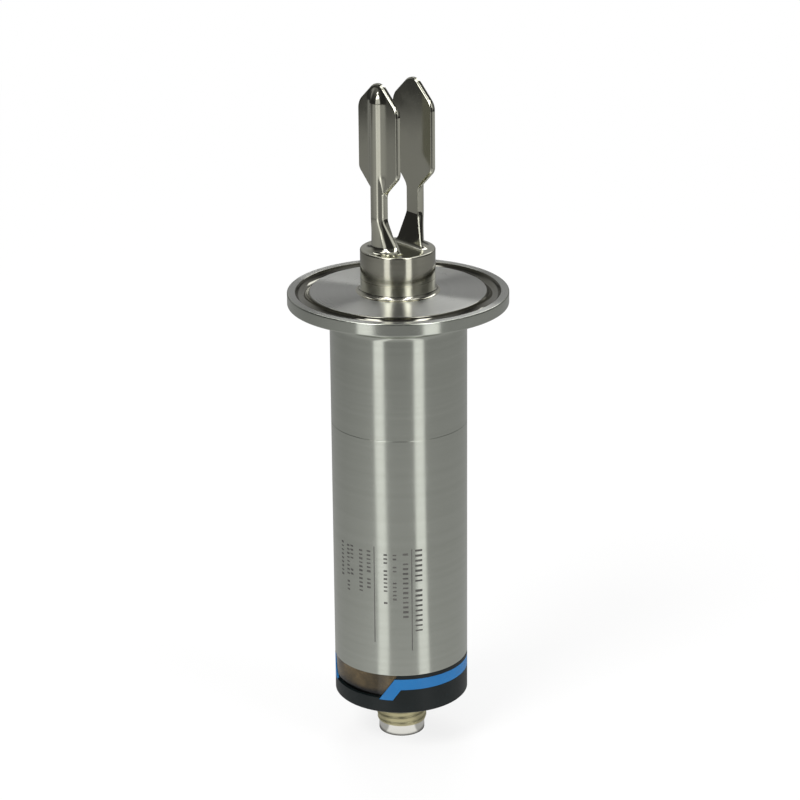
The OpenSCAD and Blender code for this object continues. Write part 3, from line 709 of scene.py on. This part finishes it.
def buildPlug(s):
    core = s["thread"] - s["depth"]
    thread = grown("plugThread", threadTree(), {
        "Crest radius": s["thread"] * mm, "Depth": s["depth"] * mm, "Pitch": s["pitch"] * mm,
        "Length": (s["threadTop"] - s["threadEnd"]) * mm, "Top": s["threadTop"] * mm,
        "Angle steps": s["angleSteps"], "Height steps": s["heightSteps"], "Finish": plugNickel,
    })
    outline = roundCorners([
        (s["pilot"], s["threadEnd"], 0), (s["pilot"], s["end"], s["endEdge"]), (s["bore"], s["end"], s["boreEdge"]),
        (s["bore"], s["seatTop"], 0), (s["seat"], s["seatTop"], s["seatEdge"]),
        (s["seat"], s["seatLow"], s["seatEdge"]), (s["neck"], s["seatLow"], 0), (s["neck"], s["threadTop"], 0),
    ])
    outline = [(core, s["threadEnd"])] + outline + [(core, s["threadTop"])]
    bodyVerts, bodyFaces = turned(outline, s["angleSteps"])
    bodyFaces = bodyFaces[:-s["angleSteps"]]   # the thread closes this gap
    piece = addPiece("plugShell", *joined((bodyVerts, bodyFaces), meshShell(thread)), plugNickel, 42)
    piece.data.materials.append(pilotNickel)
    for face in piece.data.polygons:   # the plain end is brighter than the thread
        face.material_index = int(face.center.z < (s["threadEnd"] + 0.01) * mm)
    bpy.data.meshes.remove(thread)
    fitPiece(piece, "plug_metal", "plug_shell")


buildPlug(plugSet)


cap = softCopy("end_cap", "endCap", capPlastic)
fitPiece(cap, "cap_plastic", "end_cap")
window = softCopy("light_ring", "lightRing", windowPlastic)
fitPiece(window, "window_plastic", "light_ring")
band = softCopy("blue_band", "blueBand", bandBlue)
fitPiece(band, "band_blue", "blue_band")


markSet = dict(
    radius=15.7, proud=0.012,
    # turn from the camera side in degrees, top, count, pitch, length along the tube, width round it, share kept, seed
    rows=[
        (15.5, -57.8, 17, 1.25, 0.62, 1.7, 0.9, 3),
        (4.2, -58.6, 14, 1.2, 0.6, 1.25, 0.86, 5),
        (-5.0, -58.8, 12, 1.0, 0.5, 0.85, 0.86, 8),
        (-12.8, -58.8, 13, 1.0, 0.5, 0.85, 0.86, 13),
        (-27.8, -58.4, 10, 1.0, 0.5, 0.95, 0.86, 21),
        (-35.6, -58.6, 11, 1.0, 0.5, 0.95, 0.9, 34),
        (-45.5, -58.2, 8, 1.0, 0.5, 0.85, 0.8, 55),
        (-50.0, -58.4, 12, 1.0, 0.5, 0.85, 0.86, 89),
        (-58.0, -58.2, 9, 1.0, 0.5, 0.85, 0.84, 144),
    ],
    rules=[(9.5, -57.4, -82.8), (-22.65, -57.0, -81.0)],   # turn, top and end
    ruleWidth=0.2,
)


def markTree():
    tree, entry, leave = newTree("etchedRow", [
        ("Count", "Int", 10), ("Pitch", "Float", 0.001), ("Length", "Float", 0.0006), ("Width", "Float", 0.001),
        ("Thickness", "Float", 0.00002), ("Keep", "Float", 0.9), ("Shortest", "Float", 0.6),
        ("Radius", "Float", 0.0157), ("Turn", "Float", 0.0), ("Top", "Float", -0.06),
        ("Seed", "Int", 1), ("Finish", "Material", None),
    ])
    line = tree.nodes.new("GeometryNodeMeshLine")
    plug(tree, entry["Count"], line.inputs["Count"])
    plug(tree, vectorOf(tree, None, None, calc(tree, "MULTIPLY", entry["Pitch"], -1.0)), line.inputs["Offset"])
    chance = tree.nodes.new("FunctionNodeRandomValue")
    tree.links.new(entry["Seed"], chance.inputs["Seed"])
    thin = tree.nodes.new("GeometryNodeDeleteGeometry")
    tree.links.new(line.outputs[0], thin.inputs["Geometry"])
    plug(tree, calc(tree, "GREATER_THAN", chance.outputs[1], entry["Keep"]), thin.inputs["Selection"])
    dash = tree.nodes.new("GeometryNodeMeshCube")
    plug(tree, vectorOf(tree, entry["Width"], entry["Thickness"], entry["Length"]), dash.inputs["Size"])
    dash.inputs["Vertices X"].default_value = 4   # enough to bend round the tube
    spread = tree.nodes.new("FunctionNodeRandomValue")
    plug(tree, entry["Shortest"], spread.inputs[2])   # least and most of the random number
    spread.inputs[3].default_value = 1.0
    plug(tree, calc(tree, "ADD", entry["Seed"], 7), spread.inputs["Seed"])
    stand = tree.nodes.new("GeometryNodeInstanceOnPoints")
    tree.links.new(thin.outputs[0], stand.inputs["Points"])
    tree.links.new(dash.outputs[0], stand.inputs["Instance"])
    plug(tree, vectorOf(tree, 1.0, 1.0, spread.outputs[1]), stand.inputs["Scale"])
    x, y, z = positionAxes(tree)
    radius = calc(tree, "ADD", entry["Radius"], y)
    angle = calc(tree, "ADD", entry["Turn"], calc(tree, "DIVIDE", x, entry["Radius"]))
    bent = wrapRound(tree, realized(tree, stand.outputs[0]), radius, angle, calc(tree, "ADD", z, entry["Top"]))
    endTree(tree, bent, entry["Finish"], leave)
    return tree


def buildMarks(s):
    tree = markTree()
    shells = []
    common = {"Radius": s["radius"] * mm, "Thickness": 2 * s["proud"] * mm, "Finish": markEtch}
    for turn, top, count, pitch, length, width, keep, seed in s["rows"]:
        mesh = grown("etchedRow", tree, dict(
            common, Count=count, Pitch=pitch * mm, Length=length * mm, Width=width * mm, Keep=keep,
            Turn=math.radians(cameraSide + turn), Top=top * mm, Seed=seed))
        shells.append(meshShell(mesh))
    for turn, top, end in s["rules"]:   # a rule is one long dash that is always kept
        mesh = grown("etchedRule", tree, dict(
            common, Count=1, Length=(top - end) * mm, Width=s["ruleWidth"] * mm, Keep=2.0, Shortest=1.0,
            Turn=math.radians(cameraSide + turn), Top=(top + end) / 2 * mm, Seed=1))
        shells.append(meshShell(mesh))
    piece = addPiece("etchedRows", *joined(*shells), markEtch)
    fitPiece(piece, "body_steel")


buildMarks(markSet)


cameraSet = dict(
    lens=123.362, sensor=36, distance=631.406, pitch=19.755, roll=-0.5,
    heading=cameraSide + 90, sideways=0.221, aimHeight=-26.601,
)


def placeCamera(s):
    a, t, roll = (math.radians(s[k]) for k in ("heading", "pitch", "roll"))
    right = Vector((math.cos(a), math.sin(a), 0))
    ahead = Vector((-math.sin(a), math.cos(a), 0))
    forward = ahead * math.cos(t) + Vector((0, 0, -math.sin(t)))
    up = ahead * math.sin(t) + Vector((0, 0, math.cos(t)))
    across = right * math.cos(roll) + up * math.sin(roll)
    upright = up * math.cos(roll) - right * math.sin(roll)
    eye = (Vector((0, 0, s["aimHeight"])) - forward * s["distance"] + right * s["sideways"]) * mm
    data = bpy.data.cameras.new("photoCamera")
    data.sensor_width = s["sensor"]
    data.lens = s["lens"]
    data.clip_start = 0.01
    pose = Matrix((across, upright, -forward)).transposed().to_4x4()
    pose.translation = eye
    scene.camera = linked("photoCamera", data)
    scene.camera.matrix_world = pose


placeCamera(cameraSet)
print("camera placed")


floorSet = dict(
    level=-109.95, gap=0.05, reach=4.0, segments=128, light=(0.88, 0.88, 0.875), dark=(0.86, 0.86, 0.855),
    shadowR=(0.1, 0.7), whiteShare=(0.78, 1.0),   # less pure white near the object, so that its shadow shows
)


def buildFloor(s):
    mesh = bpy.data.meshes.new("floor")
    bm = bmesh.new()
    bmesh.ops.create_circle(bm, cap_ends=True, segments=s["segments"], radius=s["reach"])
    bm.to_mesh(mesh)
    bm.free()
    material, tree, shader = newFinish("paleFloor")
    shader.inputs["Roughness"].default_value = 0.9
    shader.inputs["Specular IOR Level"].default_value = 0.0
    at = objectCoords(tree)
    plug(tree, mixColour(tree, noise(tree, at, 3.0), s["dark"], s["light"]), shader.inputs["Base Color"])
    white = tree.nodes.new("ShaderNodeEmission")
    white.inputs["Color"].default_value = (1, 1, 1, 1)
    out = tree.nodes.new("ShaderNodeVectorMath")
    out.operation = "LENGTH"
    tree.links.new(at, out.inputs[0])
    share = ranged(tree, out.outputs["Value"], *s["shadowR"], *s["whiteShare"], True)
    mix = tree.nodes.new("ShaderNodeMixShader")
    plug(tree, calc(tree, "MULTIPLY", seenRay(tree), share), mix.inputs[0])
    tree.links.new(shader.outputs[0], mix.inputs[1])
    tree.links.new(white.outputs[0], mix.inputs[2])
    tree.links.new(mix.outputs[0], tree.nodes["Material Output"].inputs["Surface"])
    mesh.materials.append(material)
    floor = linked("floor", mesh)
    floor.location = (0, 0, (s["level"] - s["gap"]) * mm)


# a room that only reflections see; angles are measured from the camera side, lengths in mm
# of four limits, the light rises between the first two and falls between the last two
tentSet = dict(
    floor=floorSet["level"], radius=700.0, top=620.0, cardLift=0.12, cardStart=5.2,
    steps=360, nearRings=50, nearEnd=290, farStart=294, farRings=104, wallRings=90, ceilingRings=40,
    # two strip lights in front, by distance from the object: the middle of each, half width, soft edge and brightness
    stripR=[80, 225, 330, 370, 390, 415, 445, 700], stripHalf=8.4,
    stripLeft=[-27.0, -32.8, -33, -33, -33, -33, -33, -33], stripRight=[35.5, 32.6, 33, 33, 33, 33, 33, 33],
    stripSoft=[1.4, 1.4, 1.4, 1.4, 1.4, 1.4, 4.0, 4.0], stripGlow=[1.02, 1.15, 1.1, 1.05, 1.9, 1.9, 0.85, 0.95],
    stripStart=(16, 40), stripFoot=(-109, -60), stripRise=(180, 215), wallStripLow=0.8, wallStrip=5.0,
    # brightness of the table by distance behind, to the left, in front and to the right
    tableR=[12, 60, 150, 230, 316, 366, 405, 446, 490, 517, 590, 700],
    tableBack=[0.35, 0.40, 0.36, 0.33, 0.32, 0.30, 0.26, 0.24, 0.24, 0.24, 0.24, 0.24],
    tableLeft=[0.45, 0.40, 0.36, 0.33, 0.32, 0.26, 0.19, 0.24, 0.26, 0.26, 0.26, 0.26],
    tableFront=[0.6, 0.46, 0.41, 0.39, 0.40, 0.23, 0.14, 0.19, 0.22, 0.20, 0.12, 0.05],
    tableRight=[0.45, 0.42, 0.38, 0.35, 0.34, 0.31, 0.28, 0.40, 0.45, 0.45, 0.45, 0.45],
    # turn, then the shares of those four sides there
    tableMix=[
        (-180, 1, 0, 0, 0), (-135, 0.5, 0.5, 0, 0), (-104, 0, 1, 0, 0), (-70, 0, 0.7, 0, 0.4), (-45, 0, 0.5, 0.2, 0.5),
        (-15, 0, 0, 1, 0), (15, 0, 0, 1, 0), (45, 0, 0, 0.5, 0.5), (75, 0, 0, 0, 1), (120, 0.3, 0, 0, 0.7),
        (180, 1, 0, 0, 0),
    ],
    tableEdge=606.0, edgeSoft=14, edgeTurn=-104.0, edgeDrop=0.78,   # the table ends on the left
    dimRing=(378, 392, 414, 430), dimDrop=0.24,
    # bright in front of the plug, dark where it stands
    footR=(16, 10), footRing=(5.9, 6.5), footTurn=(55, 46), footDark=0.12, footSide=0.3, footFront=0.48,
    wallZ=[-109, 10, 60, 130, 220, 300, 450, 620], backTurn=(100, 145),
    sideWall=[0.03, 0.03, 0.03, 0.04, 0.05, 0.05, 0.10, 0.2], backWall=[0.03, 0.06, 0.18, 0.34, 0.36, 0.34, 0.3, 0.2],
    paneTurn=(36, 44, 70, 100), paneRise=(20, 60), pane=0.16,   # a dim pane on the right
    overhead=0.5, ceiling=0.06, ceilingRing=(140, 240),
    # softboxes high on both sides, in front and behind, and a light in the left corner for the tips' edges
    frontBox=2.4, frontBoxTurn=(50, 58, 92, 100), frontBoxR=(280, 300, 450, 480),
    backBox=2.8, backBoxTurn=(138, 146, 162, 170), backBoxR=(280, 300), backBoxRise=(380, 410), backBoxLeft=0.75,
    edgeLight=3.4, edgeLightTurn=(-62, -56, -34, -28), edgeLightR=(530, 560), edgeLightRise=(470, 500),
)


def opened(x, limits):
    return smoothStep(limits[0], limits[1], x) * smoothStep(limits[3], limits[2], x)


def stripShare(s, azimuth, radius):
    left, right, soft = (np.interp(radius, s["stripR"], s[k]) for k in ("stripLeft", "stripRight", "stripSoft"))
    near = np.minimum(np.abs(azimuth - left), np.abs(azimuth - right))
    return smoothStep(s["stripHalf"] + soft, s["stripHalf"] - soft, near)


def tableGlow(s, azimuth, radius, strip):
    sides = [np.interp(radius, s["tableR"], s[k]) for k in ("tableBack", "tableLeft", "tableFront", "tableRight")]
    around = [sum(share * side for share, side in zip(mix[1:], sides)) for mix in s["tableMix"]]
    glow = np.interp(azimuth, [mix[0] for mix in s["tableMix"]], around)
    across = radius * np.cos(np.radians(azimuth - s["edgeTurn"]))
    past = smoothStep(s["tableEdge"] - s["edgeSoft"], s["tableEdge"] + s["edgeSoft"], across)
    glow = glow * (1 - s["edgeDrop"] * past) * (1 - s["dimDrop"] * opened(radius, s["dimRing"]))
    footGlow = s["footSide"] + s["footFront"] * smoothStep(*s["footTurn"], np.abs(azimuth))
    foot = s["footDark"] + footGlow * smoothStep(*s["footRing"], radius)
    glow = blend(glow, foot, smoothStep(*s["footR"], radius))
    light = np.interp(radius, s["stripR"], s["stripGlow"])
    return blend(glow, light, strip * smoothStep(*s["stripStart"], radius))


def wallGlow(s, azimuth, height, strip):
    side, back = (np.interp(height, s["wallZ"], s[k]) for k in ("sideWall", "backWall"))
    glow = blend(side, back, smoothStep(*s["backTurn"], np.abs(azimuth)))
    glow = glow + s["pane"] * opened(azimuth, s["paneTurn"]) * smoothStep(*s["paneRise"], height)
    glow = blend(glow, s["backBox"], opened(azimuth, s["backBoxTurn"]) * smoothStep(*s["backBoxRise"], height))
    light = blend(s["wallStripLow"], s["wallStrip"], smoothStep(*s["stripRise"], height))
    glow = blend(glow, light, strip * smoothStep(*s["stripFoot"], height))
    return blend(glow, s["edgeLight"], opened(azimuth, s["edgeLightTurn"]) * smoothStep(*s["edgeLightRise"], height))


def ceilingGlow(s, azimuth, radius, strip):
    off = np.abs(azimuth)
    ring = smoothStep(*s["ceilingRing"], radius)
    glow = blend(s["overhead"], s["ceiling"], ring)
    glow = blend(glow, s["wallStrip"], strip * ring)
    glow = blend(glow, s["frontBox"], opened(off, s["frontBoxTurn"]) * opened(radius, s["frontBoxR"]))
    backBox = s["backBox"] * np.where(azimuth > 0, 1.0, s["backBoxLeft"])
    glow = blend(glow, backBox, opened(off, s["backBoxTurn"]) * smoothStep(*s["backBoxR"], radius))
    return blend(glow, s["edgeLight"], opened(azimuth, s["edgeLightTurn"]) * smoothStep(*s["edgeLightR"], radius))


def buildTent(s):
    low = s["floor"] + s["cardLift"]
    near = np.geomspace(s["cardStart"], s["nearEnd"], s["nearRings"])
    far = np.linspace(s["farStart"], s["radius"], s["farRings"])
    rings = [(tableGlow, r, r, low) for r in np.concatenate([near, far])]
    rings += [(wallGlow, z, s["radius"], z) for z in np.linspace(low + 1, s["top"], s["wallRings"])]
    rings += [(ceilingGlow, r, r, s["top"] + 1) for r in np.linspace(s["radius"] - 1, 1, s["ceilingRings"])]
    turn = np.arange(s["steps"]) * 2 * math.pi / s["steps"]
    azimuth = (np.degrees(turn) - cameraSide + 540) % 360 - 180
    verts, glow = [], []
    for glowAt, place, r, z in rings:
        verts += [(r * math.cos(t) * mm, r * math.sin(t) * mm, z * mm) for t in turn]
        glow.append(glowAt(s, azimuth, place, stripShare(s, azimuth, r)))
    mesh = bpy.data.meshes.new("reflectionTent")
    mesh.from_pydata(verts, [], ringFaces([(i, i + 1) for i in range(len(rings) - 1)], s["steps"]))
    values = np.concatenate(glow).astype(np.float32)
    mesh.attributes.new("glow", "FLOAT", "POINT").data.foreach_set("value", values)
    mesh.shade_smooth()
    material, tree, shader = newFinish("tentCard")
    tree.nodes.remove(shader)
    read = tree.nodes.new("ShaderNodeAttribute")
    read.attribute_name = "glow"
    emit = tree.nodes.new("ShaderNodeEmission")
    tree.links.new(read.outputs["Fac"], emit.inputs["Strength"])
    tree.links.new(emit.outputs[0], tree.nodes["Material Output"].inputs["Surface"])
    mesh.materials.append(material)
    tent = linked("reflectionTent", mesh)
    tent.visible_camera = False
    tent.visible_diffuse = False
    tent.visible_shadow = False


lampAim = Vector((0, 0, -0.05))
lampSet = dict(   # turn from the camera side, height, distance and size in metres, power
    keyLamp=(-40, 0.75, 0.75, 0.5, 7.0),
    fillLamp=(55, 0.45, 0.9, 0.6, 4.0),
    rearLamp=(180, 0.8, 0.8, 0.6, 4.0),
)


def addLamp(name, turn, height, distance, size, power):
    data = bpy.data.lights.new(name, "AREA")
    data.shape = "DISK"
    data.size = size
    data.energy = power
    lamp = linked(name, data)
    a = math.radians(cameraSide + turn)
    lamp.location = (distance * math.cos(a), distance * math.sin(a), height)
    lamp.rotation_euler = (lampAim - lamp.location).to_track_quat("-Z", "Y").to_euler()
    lamp.visible_glossy = False


def lightWorld(strength):
    # white where it is seen, dimmer as a light
    world = bpy.data.worlds.new("paleRoom")
    world.use_nodes = True
    tree = world.node_tree
    back = tree.nodes["Background"]
    back.inputs["Color"].default_value = (1, 1, 1, 1)
    plug(tree, ranged(tree, seenRay(tree), 0.0, 1.0, strength, 1.0), back.inputs["Strength"])
    scene.world = world


buildFloor(floorSet)
buildTent(tentSet)
for lampName, lampValues in lampSet.items():
    addLamp(lampName, *lampValues)
lightWorld(strength=0.55)
scene.view_settings.view_transform = "Standard"
print("stage and lamps set")
